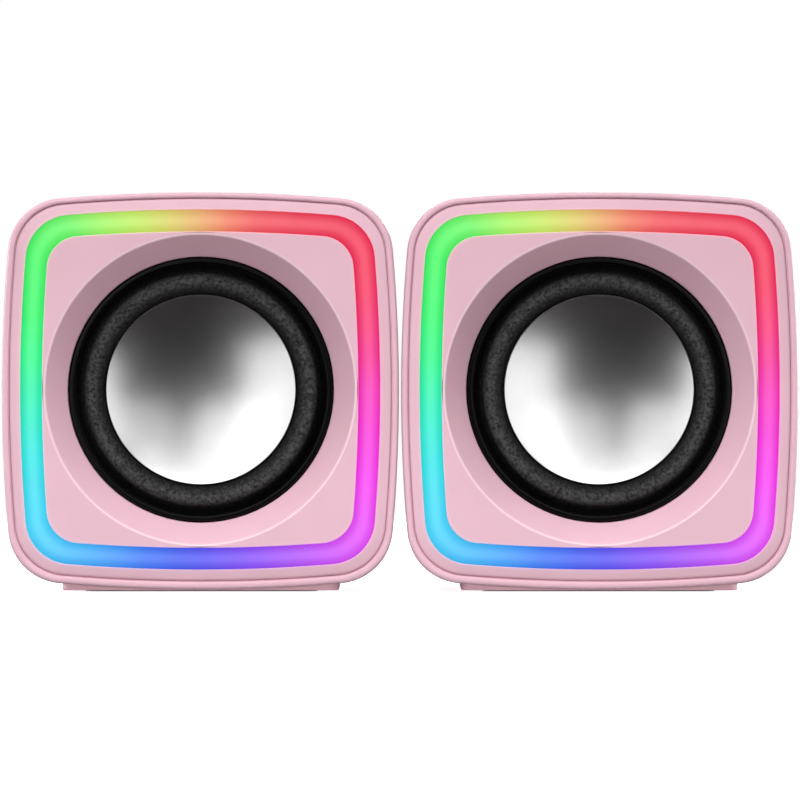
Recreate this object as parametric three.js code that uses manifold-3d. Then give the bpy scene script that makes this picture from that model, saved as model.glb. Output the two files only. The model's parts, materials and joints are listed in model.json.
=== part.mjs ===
// A pair of small desktop speakers with lit front rings.
//
// Each speaker is drawn facing the reader: X to the right, Y up, Z towards the listener, with its
// origin on the driver's axis at the foremost plane of the front panel. The group of a speaker is
// then stood up by a quarter turn about X, so that in the finished pair +Z is up, the fronts face -Y
// and the origin is on the desk, midway between the two. All lengths are in millimetres.
import * as THREE from 'three';
import { mergeVertices } from 'three/addons/utils/BufferGeometryUtils.js';
import Module from 'manifold-3d';

const wasm = await Module();
wasm.setup();

// ---------------------------------------------------------------- driving dimensions
const BODY_HALF = 39; // half the cabinet's width and height, at the middle of its bowed sides
const BODY_DEPTH = 72; // foremost plane to the back of the rear cover
const SIDE_RADIUS = 320; // radius of the bow of each side
const CORNER_RADIUS = 11; // radius of the cabinet's corners, seen from the front
const CORNER_SHRINK = 0.57; // how much of an inset comes off the radius of the corners
const BODY_DROP = 0.25; // how far the cabinet's outer faces sit below the driver's axis
const PAIR_PITCH = 78.4; // distance between the two driver axes
const FOOT_DROP = 0.5; // how far the foot pad reaches below the cabinet
const OVERALL_DEPTH = 80; // foremost plane to the end of the volume knob
const GAP = 0.3; // clearance between pieces that touch

const WALL = 2.5; // cabinet wall
const RIM_ROUND = 1.3; // rounding of the cabinet's front and rear rims
const RIM_FACE = -1;
const SEAT_FACE = -2.5; // ledge inside the front rim that the front panel rests on
const COLUMN_RADIUS = 4; // inner columns that the rear screws go into
const COLUMN_FRONT = -52;
const COLUMN_PILOT = 1.4;

const PANEL_INSET = 1.55; // front panel edge, measured in from the cabinet's outer face
const BORDER_FACE = -0.75; // front face of the panel outside the light ring
const BORDER_ROUND = 0.9;
const PANEL_BACK = -5.2;
const PANEL_SKIN = 2.6; // thickness of the panel's raised middle
const HOLLOW_INSET = 9.6; // hollow behind the raised middle
const FUNNEL_WALL = 2.2; // wall round the recess
const BOSS_RADIUS = 3.2; // driver bosses
const BOSS_PILOT = 1.3;

const RING_OUTER = 3.75; // light ring edges, as insets
const RING_INNER = 7.9;
const RING_CREST = -0.85;
const RING_BACK = -3.7;
const RING_GAP = 0.2;
const CHANNEL_FLOOR = -4;
const LED_ROW_INSET = (RING_OUTER + RING_INNER) / 2;
const LED_PITCH = 24;
const CHIP = { length: 3.4, width: 1.7, height: 1 };
const CHIP_WINDOW = { length: 5, width: 2.4 };
const LED_BOARD_THICKNESS = 1.2;

const LIP_RADIUS = 30.5; // conical recess: front lip, throat and depth
const THROAT_RADIUS = 26.2;
const RECESS_DEPTH = 5.5;
const BOSS_BACK = -8.3; // back of the panel's driver bosses

const GASKET_RADIUS = THROAT_RADIUS - GAP;
const GASKET_WIDTH = 1;
const ROLL_RADIUS = 21.05; // middle of the half-roll surround
const ROLL_HALF_WIDTH = 2.05;
const ROLL_SKIN = 0.5;
const ROLL_BASE = -7;
const CONE_RADIUS = 18.6;
const CONE_EDGE = -6.2; // front of the dish's edge
const CONE_DEPTH = 5; // how far the dish is hollowed
const CONE_SKIN = 0.6;

const FLANGE_FACE = BOSS_BACK - GAP; // basket
const FLANGE_RADIUS = 28.4;
const FRAME_RADIUS = 18; // round the back of the basket
const FRAME_BORE = 11.2;
const EAR_RADIUS = 5;
const WINDOW_DEPTH = 6.6; // openings in the basket's side
const SHEET = 1; // pressed steel of the basket's flange
const BASKET_BACK = -19.8;
const EAR_OFFSET = 23.2; // driver screws, to each side of the axis and above and below it
const COIL_RADIUS = 10.05; // mean radius of the voice coil
const COIL_WALL = 0.6;
const COIL_BACK = -24.5;
const COIL_FRONT = -10.85;
const SPIDER_RADIUS = 17.9;
const SPIDER_PLACE = -15; // middle of the spider's corrugations
const SPIDER_WAVE = 0.5; // half their height
const SPIDER_SKIN = 0.5;
const MAGNET_RADIUS = 21;
const PLATE_RADIUS = 19.5;
const PLATE_THICKNESS = 3;
const PLATE_BORE = 10.75;
const POLE_RADIUS = 9.3;
const MAGNET_THICKNESS = 8;
const MAGNET_BORE = 12.5;
const STRIP_HEIGHT = 24.6; // terminal strip, above the driver's axis

const COVER_INSET = 1.95; // rear cover
const COVER_THICKNESS = 2.5;
const COVER_FACE = -BODY_DEPTH;
const COVER_INSIDE = COVER_FACE + COVER_THICKNESS;
const COVER_ROUND = 0.9;
const REAR_SCREW_OFFSET = 30.4;
const COUNTERBORE_RADIUS = 2.7;
const COUNTERBORE_DEPTH = 1.7;
const OUTLET_HEIGHT = -24; // centre of the cable outlet, above the driver's axis
const OUTLET_RADIUS = 3.3;
const GROMMET_NECK = 3.9;
const GROMMET_LIP = { radius: 5.4, thickness: 1.3 };

const FOOT_WIDTH = 54.4;
const FOOT_LENGTH = 58;
const FOOT_THICKNESS = 1.6;
const FOOT_FRONT = -4; // front edge of the foot
const FOOT_MIDDLE = FOOT_FRONT - FOOT_LENGTH / 2;
const PAD_SIZE = 46;
const PAD_THICKNESS = 0.8;
const DESK = -BODY_HALF - BODY_DROP - FOOT_DROP; // the desk's surface, from the driver's axis
const FOOT_TOP = DESK + GAP + FOOT_THICKNESS;

const KNOB_HEIGHT = 14; // volume control, above the driver's axis
const KNOB_RADIUS = 8;
const KNOB_CROWN = 1.7; // thickness of the knob's end face
const KNOB_REST = -150; // degrees from straight up to the knob's groove at the lowest volume
const SHAFT_RADIUS = 2.9;
const SHAFT_END = -78;
const POT = { size: 9.5, depth: 6 };
const BUTTON_HEIGHT = -4;
const BUTTON_RADIUS = 3;
const BUTTON_FLANGE = 4.2;
const SWITCH = { size: 6, depth: 3.5, plunger: 1.3 };
const BOARD_FACE = -60.2; // amplifier board: the side towards the rear cover
const BOARD_THICKNESS = 1.6;

const SIDE_STEPS = 4; // facets of a bowed side, a corner, a rounded edge and a turned piece
const CORNER_STEPS = 4;
const ROUND_STEPS = 2;
const TURN_STEPS = 24;
const FINE_STEPS = 16;
const SMALL_STEPS = 8;
const SCREW_STEPS = 6;
const ROLL_STEPS = 4;
const DISH_STEPS = 4;
const SPARE = 6; // how far a cutting shape runs past what it cuts
const WIDE = 120; // wider than the whole cabinet

// ---------------------------------------------------------------- solids
function solid(geometry) {
  geometry.deleteAttribute('normal');
  geometry.deleteAttribute('uv');
  const merged = mergeVertices(geometry);
  const corners = Array.from(merged.index.array);
  const kept = [];
  for (let i = 0; i < corners.length; i += 3) {
    const [a, b, c] = corners.slice(i, i + 3);
    if (a !== b && b !== c && c !== a) kept.push(a, b, c);
  }
  return new wasm.Manifold(new wasm.Mesh({
    numProp: 3,
    vertProperties: new Float32Array(merged.attributes.position.array),
    triVerts: new Uint32Array(kept),
  }));
}

function union(pieces) {
  return pieces.reduce((sum, piece) => sum.add(piece));
}

function block(width, height, depth, x, y, z) {
  return solid(new THREE.BoxGeometry(width, height, depth).translate(x, y, z));
}

function cornerAt(inset) {
  return CORNER_RADIUS - CORNER_SHRINK * inset;
}

// The body's outline, moved in by `inset`: four shallow arcs joined by four corner arcs.
function outline(inset, cornerRadius) {
  const sideRadius = SIDE_RADIUS - inset;
  const sideCentre = BODY_HALF - SIDE_RADIUS;
  const reach = sideRadius - cornerRadius;
  const cornerCentre = (sideCentre + Math.sqrt(2 * reach ** 2 - sideCentre ** 2)) / 2;
  const tangent = Math.atan2(cornerCentre, cornerCentre - sideCentre);
  const origin = new THREE.Vector2();
  const points = [];
  for (let quarter = 0; quarter < 4; quarter += 1) {
    const place = (centreX, centreY, radius, angle) => {
      const point = new THREE.Vector2(
        centreX + radius * Math.cos(angle),
        centreY + radius * Math.sin(angle),
      );
      points.push(point.rotateAround(origin, quarter * Math.PI / 2));
    };
    for (let i = 0; i < SIDE_STEPS; i += 1) {
      place(sideCentre, 0, sideRadius, tangent * (2 * i / SIDE_STEPS - 1));
    }
    for (let i = 0; i < CORNER_STEPS; i += 1) {
      const angle = tangent + (Math.PI / 2 - 2 * tangent) * i / CORNER_STEPS;
      place(cornerCentre, cornerCentre, cornerRadius, angle);
    }
  }
  return points;
}

// A shape pulled along Z from `low` to `high`, with both ends rounded over when `round` is given.
// The rounding grows the shape by `round` between its ends.
function extrude(shape, low, high, round = 0, roundDepth = round) {
  const geometry = new THREE.ExtrudeGeometry(shape, {
    depth: high - low - 2 * roundDepth,
    bevelEnabled: round > 0,
    bevelSize: round,
    bevelThickness: roundDepth,
    bevelSegments: ROUND_STEPS,
  });
  return solid(geometry.translate(0, 0, low + roundDepth));
}

function slab(inset, low, high, round = 0) {
  const points = outline(inset + round, cornerAt(inset) - round);
  return extrude(new THREE.Shape(points), low, high, round);
}

function band(outerInset, innerInset, low, high, round = 0, roundDepth = round) {
  const shape = new THREE.Shape(outline(outerInset + round, cornerAt(outerInset) - round));
  shape.holes.push(new THREE.Path(outline(innerInset - round, cornerAt(innerInset) + round)));
  return extrude(shape, low, high, round, roundDepth);
}

function between(piece, low, high) {
  return piece.intersect(block(WIDE, WIDE, high - low, 0, 0, (low + high) / 2));
}

// A piece turned about the Z axis from its profile of [radius, z] points, listed counter-clockwise.
function turned(profile, steps = TURN_STEPS) {
  const points = profile.map(([radius, z]) => new THREE.Vector2(radius, z));
  return solid(new THREE.LatheGeometry(points, steps).rotateX(Math.PI / 2));
}

function tubeRing(inner, outer, low, high, steps = TURN_STEPS) {
  return turned([[inner, low], [outer, low], [outer, high], [inner, high], [inner, low]], steps);
}

function rod(radius, low, high, x = 0, y = 0, steps = SMALL_STEPS) {
  return turned([[0, low], [radius, low], [radius, high], [0, high]], steps).translate([x, y, 0]);
}

// One copy of a piece in each of the four corners.
function corners(offset) {
  return [[offset, offset], [-offset, offset], [-offset, -offset], [offset, -offset]];
}

function arc(centreRadius, centreZ, radius, from, to, steps) {
  return Array.from({ length: steps + 1 }, (_, i) => {
    const angle = from + (to - from) * i / steps;
    return [centreRadius + radius * Math.cos(angle), centreZ + radius * Math.sin(angle)];
  });
}

// ---------------------------------------------------------------- cabinet and front
function cabinet() {
  const rearLedge = COVER_INSIDE + GAP;
  const places = corners(REAR_SCREW_OFFSET);
  const columns = places.map(([x, y]) => rod(COLUMN_RADIUS, rearLedge, COLUMN_FRONT, x, y));
  const pilots = places.map(
    ([x, y]) => rod(COLUMN_PILOT, rearLedge - 1, COLUMN_FRONT - 5, x, y),
  );
  const pocketTop = FOOT_TOP + GAP;
  const pocket = block(
    FOOT_WIDTH + 2 * GAP, SPARE, FOOT_LENGTH + 2 * GAP, 0, pocketTop - SPARE / 2, FOOT_MIDDLE,
  );
  return slab(0, COVER_FACE, RIM_FACE, RIM_ROUND)
    .translate([0, -BODY_DROP, 0])
    .subtract(slab(WALL, COVER_FACE - SPARE, SPARE))
    .subtract(slab(PANEL_INSET - GAP, SEAT_FACE, SPARE))
    .subtract(slab(COVER_INSET - GAP, COVER_FACE - SPARE, rearLedge))
    .add(union(columns))
    .subtract(union(pilots))
    .subtract(pocket);
}

function ledPlaces() {
  const reach = BODY_HALF - LED_ROW_INSET;
  return [-LED_PITCH / 2, LED_PITCH / 2].flatMap((along) => [
    { x: along, y: reach, upright: false },
    { x: along, y: -reach, upright: false },
    { x: reach, y: along, upright: true },
    { x: -reach, y: along, upright: true },
  ]);
}

function ledBlocks({ length, width }, low, high) {
  return ledPlaces().map(({ x, y, upright }) => block(
    upright ? width : length, upright ? length : width, high - low, x, y, (low + high) / 2,
  ));
}

// Its edge lies on the cabinet's ledge, and a spigot behind the edge reaches inside the walls.
function frontPanel() {
  const slope = (LIP_RADIUS - THROAT_RADIUS) / RECESS_DEPTH;
  const edgeBack = SEAT_FACE + GAP;
  const border = between(
    slab(PANEL_INSET, PANEL_BACK - SPARE, BORDER_FACE, BORDER_ROUND), edgeBack, SPARE,
  ).add(slab(WALL + GAP, PANEL_BACK, edgeBack + GAP));
  const innerWall = RING_INNER + RING_GAP;
  const channel = band(RING_OUTER - RING_GAP, innerWall, CHANNEL_FLOOR, SPARE);
  const recess = turned([
    [0, BOSS_BACK - 1],
    [THROAT_RADIUS, BOSS_BACK - 1],
    [THROAT_RADIUS, -RECESS_DEPTH],
    [LIP_RADIUS + slope * SPARE, SPARE],
    [0, SPARE],
  ]);
  const throatWall = THROAT_RADIUS + FUNNEL_WALL;
  const funnel = turned([
    [0, BOSS_BACK],
    [throatWall, BOSS_BACK],
    [throatWall, -RECESS_DEPTH],
    [LIP_RADIUS + FUNNEL_WALL, 0],
    [0, 0],
  ]);
  const hollow = slab(HOLLOW_INSET, PANEL_BACK - 1, -PANEL_SKIN).subtract(funnel);
  const throat = tubeRing(THROAT_RADIUS - 1, throatWall, BOSS_BACK, PANEL_BACK + 1);
  const places = corners(EAR_OFFSET);
  const bosses = places.map(([x, y]) => rod(BOSS_RADIUS, BOSS_BACK, -PANEL_SKIN / 2, x, y));
  const pilots = places.map(([x, y]) => rod(BOSS_PILOT, BOSS_BACK - 1, -PANEL_SKIN - 1, x, y));
  return border
    .subtract(channel)
    .add(slab(innerWall, -PANEL_SKIN, 0))
    .subtract(hollow)
    .add(throat)
    .add(union(bosses))
    .subtract(recess)
    .subtract(union(pilots))
    .subtract(union(ledBlocks(CHIP_WINDOW, PANEL_BACK - 1, CHANNEL_FLOOR + 1)));
}

function lightRing() {
  const rounded = band(RING_OUTER, RING_INNER, RING_BACK - SPARE, RING_CREST, 1.5, 0.9);
  return between(rounded, RING_BACK, SPARE);
}

function ledBoard() {
  const face = PANEL_BACK - GAP;
  const back = face - LED_BOARD_THICKNESS;
  return band(RING_OUTER + 0.8, RING_INNER + 0.9, back, face)
    .add(union(ledBlocks(CHIP, back + LED_BOARD_THICKNESS / 2, face + CHIP.height)));
}

// ---------------------------------------------------------------- driver
function gasket() {
  const inner = GASKET_RADIUS - GASKET_WIDTH;
  return tubeRing(inner, GASKET_RADIUS, FLANGE_FACE + GAP, -RECESS_DEPTH - GAP);
}

function surround() {
  const foot = FLANGE_FACE + GAP;
  const outer = ROLL_HALF_WIDTH;
  const inner = ROLL_HALF_WIDTH - ROLL_SKIN;
  const rim = GASKET_RADIUS - GASKET_WIDTH - GAP;
  return turned([
    [rim, foot],
    [rim, foot + ROLL_SKIN],
    [ROLL_RADIUS + outer, foot + ROLL_SKIN],
    ...arc(ROLL_RADIUS, ROLL_BASE, outer, 0, Math.PI, ROLL_STEPS),
    ...arc(ROLL_RADIUS, ROLL_BASE, inner, Math.PI, 0, ROLL_STEPS),
    [ROLL_RADIUS + inner, foot],
    [rim, foot],
  ], FINE_STEPS + 4);
}

// The dish is part of a sphere: [radius, z] points of its surface from the axis to the edge.
function dishLine(shift) {
  const sphere = (CONE_RADIUS ** 2 + CONE_DEPTH ** 2) / (2 * CONE_DEPTH);
  return Array.from({ length: DISH_STEPS + 1 }, (_, i) => {
    const radius = CONE_RADIUS * i / DISH_STEPS;
    const rise = sphere - Math.sqrt(sphere ** 2 - radius ** 2);
    return [radius, CONE_EDGE - CONE_DEPTH + rise + shift];
  });
}

function cone() {
  return turned([...dishLine(-CONE_SKIN), ...dishLine(0).reverse()]);
}

function voiceCoil() {
  const half = COIL_WALL / 2;
  return tubeRing(COIL_RADIUS - half, COIL_RADIUS + half, COIL_BACK, COIL_FRONT, FINE_STEPS);
}

function spider() {
  const inner = COIL_RADIUS + COIL_WALL / 2 + GAP;
  const count = 5;
  const wave = Array.from({ length: count }, (_, i) => [
    inner + (SPIDER_RADIUS - inner) * i / (count - 1),
    SPIDER_PLACE + (i % 2 ? SPIDER_WAVE : -SPIDER_WAVE),
  ]);
  const back = wave.map(([radius, z]) => [radius, z - SPIDER_SKIN]);
  return turned([...back, ...wave.reverse(), back[0]], FINE_STEPS);
}

function basket() {
  const flangeBack = FLANGE_FACE - SHEET;
  const frame = turned([
    [FRAME_BORE, BASKET_BACK],
    [FRAME_RADIUS, BASKET_BACK],
    [FRAME_RADIUS, BASKET_BACK + 1.2],
    [22.8, flangeBack],
    [FLANGE_RADIUS, flangeBack],
    [FLANGE_RADIUS, FLANGE_FACE],
    [22.1, FLANGE_FACE],
    [FRAME_RADIUS - 0.8, BASKET_BACK + SHEET],
    [FRAME_BORE, BASKET_BACK + SHEET],
    [FRAME_BORE, BASKET_BACK],
  ]);
  const places = corners(EAR_OFFSET);
  const ears = places.map(([x, y]) => rod(EAR_RADIUS, flangeBack, FLANGE_FACE, x, y));
  const holes = places.map(([x, y]) => rod(1.5, -SPARE * 2, 0, x, y));
  const windowPlace = flangeBack - 1.4 - WINDOW_DEPTH / 2;
  const windows = [[1, 0], [0, 1], [-1, 0], [0, -1]].map(([x, y]) => block(
    x ? 16 : 15, y ? 16 : 15, WINDOW_DEPTH, 22 * x, 22 * y, windowPlace,
  ));
  return frame.add(union(ears)).subtract(union(holes)).subtract(union(windows));
}

function topPlate() {
  const front = BASKET_BACK - GAP;
  return tubeRing(PLATE_BORE, PLATE_RADIUS, front - PLATE_THICKNESS, front, FINE_STEPS);
}

function magnet() {
  const front = BASKET_BACK - PLATE_THICKNESS - 2 * GAP;
  return tubeRing(MAGNET_BORE, MAGNET_RADIUS, front - MAGNET_THICKNESS, front, FINE_STEPS);
}

function poleYoke() {
  const front = BASKET_BACK - PLATE_THICKNESS - MAGNET_THICKNESS - 3 * GAP;
  const back = front - PLATE_THICKNESS;
  return turned([
    [0, back],
    [PLATE_RADIUS, back],
    [PLATE_RADIUS, front],
    [POLE_RADIUS, front],
    [POLE_RADIUS, BASKET_BACK],
    [0, BASKET_BACK],
  ], FINE_STEPS);
}

function terminalStrip() {
  const tags = [-3.5, 3.5].map((x) => block(2.4, 1.4, 3, x, STRIP_HEIGHT, -17.2));
  return block(12, 1.4, 6.5, 0, STRIP_HEIGHT, -13.15).add(union(tags));
}

// An inner lead: a round cord pulled along a smooth curve through its route.
function lead(route) {
  const circle = new THREE.Shape();
  circle.absarc(0, 0, 1, 0, 2 * Math.PI);
  const points = route.map(([x, y, z]) => new THREE.Vector3(x, y, z));
  return solid(new THREE.ExtrudeGeometry(circle, {
    steps: 14,
    curveSegments: 4,
    bevelEnabled: false,
    extrudePath: new THREE.CatmullRomCurve3(points),
  }));
}

// From the terminal strip along the side wall to the cable outlet.
const LEFT_LEAD_ROUTE = [
  [0, 26.8, -13],
  [8, 28, -22],
  [19, 28.2, -32],
  [28, 24, -42],
  [31, 10, -49],
  [30, -7, -53],
  [22, -19, -57],
  [9, -24, -60],
  [1.5, -24.2, -63.5],
  [0, OUTLET_HEIGHT, -67.2],
];

// From the terminal strip to the top of the amplifier board.
const RIGHT_LEAD_ROUTE = [
  [0, 26.8, -13],
  [0, 27.4, -24],
  [0, 27.2, -38],
  [0, 25, -48],
  [0, 22, -54.5],
  [0, 21.4, -58.3],
];

// ---------------------------------------------------------------- rear
function coverHole(radius, height, steps = SMALL_STEPS) {
  return rod(radius, COVER_FACE - 1, COVER_INSIDE + 1, 0, height, steps);
}

function rearCover(withControls) {
  const plate = between(
    slab(COVER_INSET, COVER_FACE, SPARE, COVER_ROUND), COVER_FACE, COVER_INSIDE,
  );
  const cuts = corners(REAR_SCREW_OFFSET).flatMap(([x, y]) => [
    rod(1.5, COVER_FACE - 1, COVER_INSIDE + 1, x, y),
    rod(COUNTERBORE_RADIUS, COVER_FACE - 1, COVER_FACE + COUNTERBORE_DEPTH, x, y),
  ]);
  cuts.push(coverHole(GROMMET_NECK + GAP, OUTLET_HEIGHT, FINE_STEPS));
  if (!withControls) return plate.subtract(union(cuts));
  cuts.push(coverHole(SHAFT_RADIUS + 2 * GAP, KNOB_HEIGHT));
  cuts.push(coverHole(BUTTON_RADIUS + 0.4, BUTTON_HEIGHT));
  const posts = [-13, 13].map((x) => rod(2.2, COVER_INSIDE - 1, BOARD_FACE - GAP, x, -12));
  return plate.subtract(union(cuts)).add(union(posts));
}

function cableGrommet() {
  const inside = COVER_INSIDE + GAP;
  const outside = COVER_FACE - GAP;
  const { radius, thickness } = GROMMET_LIP;
  return turned([
    [OUTLET_RADIUS, outside - thickness],
    [radius, outside - thickness],
    [radius, outside],
    [GROMMET_NECK, outside],
    [GROMMET_NECK, inside],
    [radius, inside],
    [radius, inside + thickness],
    [OUTLET_RADIUS, inside + thickness],
    [OUTLET_RADIUS, outside - thickness],
  ], FINE_STEPS).translate([0, OUTLET_HEIGHT, 0]);
}

// Screws with their heads to the rear.
function screw(headRadius, shankRadius, headTop, headSeat, tip) {
  return turned([
    [0, headTop],
    [headRadius, headTop],
    [headRadius, headSeat],
    [shankRadius, headSeat],
    [shankRadius, tip - 0.8],
    [0, tip],
  ], SCREW_STEPS);
}

function rearScrew() {
  const seat = COVER_FACE + COUNTERBORE_DEPTH - GAP;
  return screw(2.3, 1.1, seat - 1.1, seat, COLUMN_FRONT - 6);
}

function driverScrew() {
  const seat = FLANGE_FACE - SHEET - GAP;
  return screw(2.2, 1, seat - 1.2, seat, -4.2);
}

function foot() {
  const recess = PAD_SIZE + 2 * GAP;
  const recessTop = DESK + PAD_THICKNESS + GAP;
  const middle = FOOT_TOP - FOOT_THICKNESS / 2;
  return block(FOOT_WIDTH, FOOT_THICKNESS, FOOT_LENGTH, 0, middle, FOOT_MIDDLE)
    .subtract(block(recess, SPARE, recess, 0, recessTop - SPARE / 2, FOOT_MIDDLE));
}

function footPad() {
  const middle = DESK + PAD_THICKNESS / 2;
  return block(PAD_SIZE, PAD_THICKNESS, PAD_SIZE, 0, middle, FOOT_MIDDLE);
}

// ---------------------------------------------------------------- controls of the right speaker
function ampBoard() {
  const front = BOARD_FACE + BOARD_THICKNESS;
  return union([
    block(34, 44, BOARD_THICKNESS, 0, 4, BOARD_FACE + BOARD_THICKNESS / 2),
    rod(3.1, front - 0.5, front + 7, -10, -4),
    rod(3.1, front - 0.5, front + 7, 9, -8),
    block(9, 6, 2.1, 0, 6, front + 0.8),
    block(10, 5, 5.5, -8, 18, front + 2.4),
  ]);
}

function volumePot() {
  const { size, depth } = POT;
  return block(size, size, depth, 0, KNOB_HEIGHT, BOARD_FACE - GAP - depth / 2);
}

function volumeShaft() {
  return rod(SHAFT_RADIUS, SHAFT_END, BOARD_FACE - 2 * GAP - POT.depth, 0, KNOB_HEIGHT);
}

function volumeKnob() {
  const face = -OVERALL_DEPTH;
  const skirt = COVER_FACE - 0.5;
  const bore = SHAFT_RADIUS + GAP;
  const groove = block(1.2, 4.6, 1, 0, 4.6, face).rotate([0, 0, KNOB_REST]); // shows the setting
  return turned([
    [0, face],
    [KNOB_RADIUS - 0.8, face],
    [KNOB_RADIUS, face + 0.8],
    [KNOB_RADIUS, skirt],
    [bore, skirt],
    [bore, face + KNOB_CROWN],
    [0, face + KNOB_CROWN],
  ], FINE_STEPS).subtract(groove).translate([0, KNOB_HEIGHT, 0]);
}

function buttonSwitch() {
  const { size, depth, plunger } = SWITCH;
  const face = BOARD_FACE - GAP - depth;
  return block(size, size, depth, 0, BUTTON_HEIGHT, face + depth / 2)
    .add(rod(1.7, face - plunger, face + 0.5, 0, BUTTON_HEIGHT));
}

function lightButton() {
  const inner = COVER_INSIDE + 0.6;
  return turned([
    [0, COVER_FACE - 1.4],
    [BUTTON_RADIUS - 0.4, COVER_FACE - 1.4],
    [BUTTON_RADIUS, COVER_FACE - 1],
    [BUTTON_RADIUS, inner],
    [BUTTON_FLANGE, inner],
    [BUTTON_FLANGE, inner + 1.3],
    [1.5, inner + 1.3],
    [1.5, inner + 2.3],
    [0, inner + 2.3],
  ], SMALL_STEPS).translate([0, BUTTON_HEIGHT, 0]);
}

// ---------------------------------------------------------------- materials
const finish = (color, roughness, metalness = 0) => () => new THREE.MeshStandardMaterial({
  color, roughness, metalness,
});
const pinkPlastic = finish(0xe3bcc6, 0.45);
const diffuser = finish(0xf3e9f2, 0.35);
const blackFoam = finish(0x17171a, 0.9);
const blackRubber = finish(0x1b1b1d, 0.75);
const silver = finish(0xc9c9cb, 0.3, 0.9);
const copper = finish(0xb06a3a, 0.4, 0.8);
const spiderCloth = finish(0xc9a45c, 0.9);
const steel = finish(0x8d9094, 0.45, 0.9);
const ferrite = finish(0x2b2b2e, 0.7);
const circuitBoard = finish(0x1f5b38, 0.55);
const whiteBoard = finish(0xe6e6e2, 0.55);
const paxolin = finish(0x6b4a2a, 0.7);
const wireSheath = finish(0x8c1f1f, 0.5);
const blackPlastic = finish(0x202022, 0.5);

// ---------------------------------------------------------------- assembly
function node(name, piece, material) {
  const { numProp, vertProperties, triVerts } = piece.getMesh();
  const geometry = new THREE.BufferGeometry();
  geometry.setAttribute('position', new THREE.BufferAttribute(vertProperties, numProp));
  geometry.setIndex(new THREE.BufferAttribute(triVerts, 1));
  geometry.computeVertexNormals();
  const mesh = new THREE.Mesh(geometry, material());
  mesh.name = name;
  return mesh;
}

function screwSet(prefix, piece, offset) {
  return corners(offset).map(([x, y], i) => {
    const mesh = node(`${prefix}_${i + 1}`, piece, steel);
    mesh.position.set(x, y, 0);
    return mesh;
  });
}

function speaker(side, centreX, leadRoute, withControls) {
  const group = new THREE.Group();
  group.position.set(centreX, -OVERALL_DEPTH / 2, -DESK);
  group.rotation.x = Math.PI / 2;
  group.add(
    node(`${side}_cabinet`, cabinet(), pinkPlastic),
    node(`${side}_front_panel`, frontPanel(), pinkPlastic),
    node(`${side}_light_ring`, lightRing(), diffuser),
    node(`${side}_led_board`, ledBoard(), whiteBoard),
    node(`${side}_driver_gasket`, gasket(), blackFoam),
    node(`${side}_driver_basket`, basket(), steel),
    node(`${side}_surround`, surround(), blackFoam),
    node(`${side}_cone`, cone(), silver),
    node(`${side}_voice_coil`, voiceCoil(), copper),
    node(`${side}_spider`, spider(), spiderCloth),
    node(`${side}_top_plate`, topPlate(), steel),
    node(`${side}_magnet`, magnet(), ferrite),
    node(`${side}_pole_yoke`, poleYoke(), steel),
    node(`${side}_terminal_strip`, terminalStrip(), paxolin),
    node(`${side}_driver_lead`, lead(leadRoute), wireSheath),
    node(`${side}_rear_cover`, rearCover(withControls), pinkPlastic),
    node(`${side}_cable_grommet`, cableGrommet(), blackRubber),
    node(`${side}_foot`, foot(), pinkPlastic),
    node(`${side}_foot_pad`, footPad(), blackRubber),
    ...screwSet(`${side}_driver_screw`, driverScrew(), EAR_OFFSET),
    ...screwSet(`${side}_rear_screw`, rearScrew(), REAR_SCREW_OFFSET),
  );
  if (withControls) {
    group.add(
      node('amp_board', ampBoard(), circuitBoard),
      node('volume_pot', volumePot(), blackPlastic),
      node('volume_shaft', volumeShaft(), steel),
      node('volume_knob', volumeKnob(), blackPlastic),
      node('button_switch', buttonSwitch(), blackPlastic),
      node('light_button', lightButton(), blackPlastic),
    );
  }
  return group;
}

const pair = new THREE.Group();
pair.add(
  speaker('left', -PAIR_PITCH / 2, LEFT_LEAD_ROUTE, false),
  speaker('right', PAIR_PITCH / 2, RIGHT_LEAD_ROUTE, true),
);

export default pair;
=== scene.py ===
"""The looks of a pair of small desktop speakers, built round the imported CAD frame.

Each speaker is drawn in millimetres in axes of its own: X to the right, Y up and Z towards the
listener, with the origin on the driver's axis at the foremost plane of the front panel. `Place`
turns those into the frame's metres, so that every piece lands where the CAD says.
"""
import json
import math

import bmesh
import bpy
from mathutils import Matrix, Vector


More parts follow.
